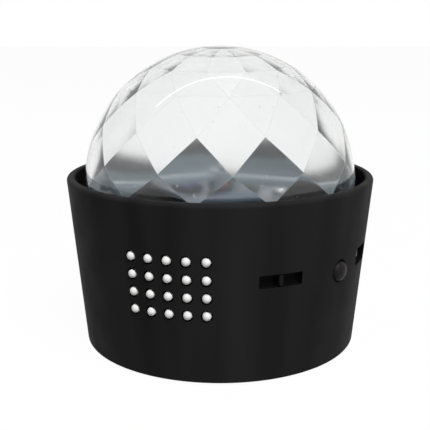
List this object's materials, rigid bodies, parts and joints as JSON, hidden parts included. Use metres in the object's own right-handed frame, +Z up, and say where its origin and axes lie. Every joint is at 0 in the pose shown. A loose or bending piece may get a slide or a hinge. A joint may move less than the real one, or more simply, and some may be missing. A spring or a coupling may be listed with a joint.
{
  "type": "rotating disco light",
  "caption": "Tapered round table light whose clear faceted dome turns on a geared motor, with a slide switch, push button, sound holes and a battery door.",
  "frame": {"origin": "centre of the box's bottom face: on the table, on the dome's axis", "axes": "+Z up along the dome's axis; -Y is the front, with the sound holes and the slide switch; +X is to the right seen from the front"},
  "size_m": [0.0858, 0.0858, 0.0828],
  "materials": {
    "black_housing": "satin moulded black plastic",
    "black_switch": "satin moulded black plastic",
    "grey_button": "glossy moulded dark plastic",
    "black_rubber": "matt",
    "white_foam": "soft matt white",
    "white_nylon": "natural moulded",
    "clear_dome": "clear polished plastic",
    "smoked_carrier": "smoked moulded plastic",
    "green_board": "solder mask",
    "dark_board": "dark solder mask",
    "chip_resin": "moulded resin",
    "led_red": "tinted epoxy lens",
    "led_green": "tinted epoxy lens",
    "led_blue": "tinted epoxy lens",
    "bronze": "sintered",
    "cell_wrap": "printed sleeve, plain",
    "red_lead": "extruded insulation",
    "steel": "zinc plated"
  },
  "bodies": {
    "root": {"outer_housing": "black_housing", "bottom_cover": "black_housing", "rubber_foot_ring": "black_rubber", "cover_screw_1": "steel", "cover_screw_2": "steel", "cover_screw_3": "steel", "cover_screw_4": "steel", "battery_cell_1": "cell_wrap", "battery_cell_2": "cell_wrap", "battery_cell_3": "cell_wrap", "flat_contact_1": "steel", "flat_contact_2": "steel", "flat_contact_3": "steel", "spring_contact_1": "steel", "spring_contact_2": "steel", "spring_contact_3": "steel", "main_board": "green_board", "board_screw_1": "steel", "board_screw_2": "steel", "controller_chip": "chip_resin", "microphone_boot": "black_rubber", "microphone": "steel", "grille_pad": "white_foam", "slide_switch_body": "steel", "tact_switch": "steel", "usb_port": "steel", "gear_plate": "white_nylon", "gear_plate_screw_1": "steel", "gear_plate_screw_2": "steel", "gear_plate_screw_3": "steel", "motor": "steel", "motor_screw_1": "steel", "motor_screw_2": "steel", "first_axle": "steel", "second_axle": "steel", "upper_bush": "bronze", "thrust_bush": "bronze", "led_board": "dark_board", "led_board_screw_1": "steel", "led_board_screw_2": "steel", "led_red": "led_red", "led_green": "led_green", "led_blue": "led_blue", "battery_lead": "red_lead", "motor_lead": "red_lead", "led_lead": "red_lead"},
    "dome_assembly": {"dome": "clear_dome", "dome_carrier": "smoked_carrier", "carrier_screw": "steel", "output_shaft": "steel", "output_gear": "white_nylon"},
    "motor_rotor": {"motor_shaft": "steel", "motor_pinion": "bronze"},
    "first_compound_gear": {"first_gear": "white_nylon"},
    "second_compound_gear": {"second_gear": "white_nylon"},
    "switch_knob": {"switch_slider": "black_switch", "switch_lever": "white_nylon"},
    "button_cap": {"push_button": "grey_button", "tact_plunger": "white_nylon"},
    "door": {"battery_door": "black_housing"}
  },
  "joints": [
    {"name": "dome_spin", "type": "hinge", "parent": "root", "child": "dome_assembly", "pos_m": [0, 0, 0.0448], "axis": [0, 0, 1], "continuous": true},
    {"name": "second_gear_spin", "type": "hinge", "parent": "root", "child": "second_compound_gear", "pos_m": [0.01229, 0.0086, 0.0374], "axis": [0, 0, 1], "continuous": true},
    {"name": "first_gear_spin", "type": "hinge", "parent": "root", "child": "first_compound_gear", "pos_m": [0.00205, 0.01577, 0.035], "axis": [0, 0, 1], "continuous": true},
    {"name": "motor_spin", "type": "hinge", "parent": "root", "child": "motor_rotor", "pos_m": [-0.00238, 0.02746, 0.033], "axis": [0, 0, 1], "continuous": true},
    {"name": "switch_slide", "type": "slide", "parent": "root", "child": "switch_knob", "axis": [0.9311, 0.3649, 0], "range_m": [-0.002, 0.002]},
    {"name": "button_press", "type": "slide", "parent": "root", "child": "button_cap", "axis": [-0.7501, 0.6613, 0], "range_m": [0, 0.0006], "stiffness_N_per_m": 400},
    {"name": "battery_door_tilt", "type": "hinge", "parent": "root", "child": "door", "pos_m": [-0.0242, 0, 0.0006], "axis": [0, 1, 0], "range_deg": [0, 75]}
  ],
  "couplings": [
    {"joint": "second_gear_spin", "follows": "dome_spin", "ratio": -5},
    {"joint": "first_gear_spin", "follows": "dome_spin", "ratio": 20},
    {"joint": "motor_spin", "follows": "dome_spin", "ratio": -80}
  ]
}
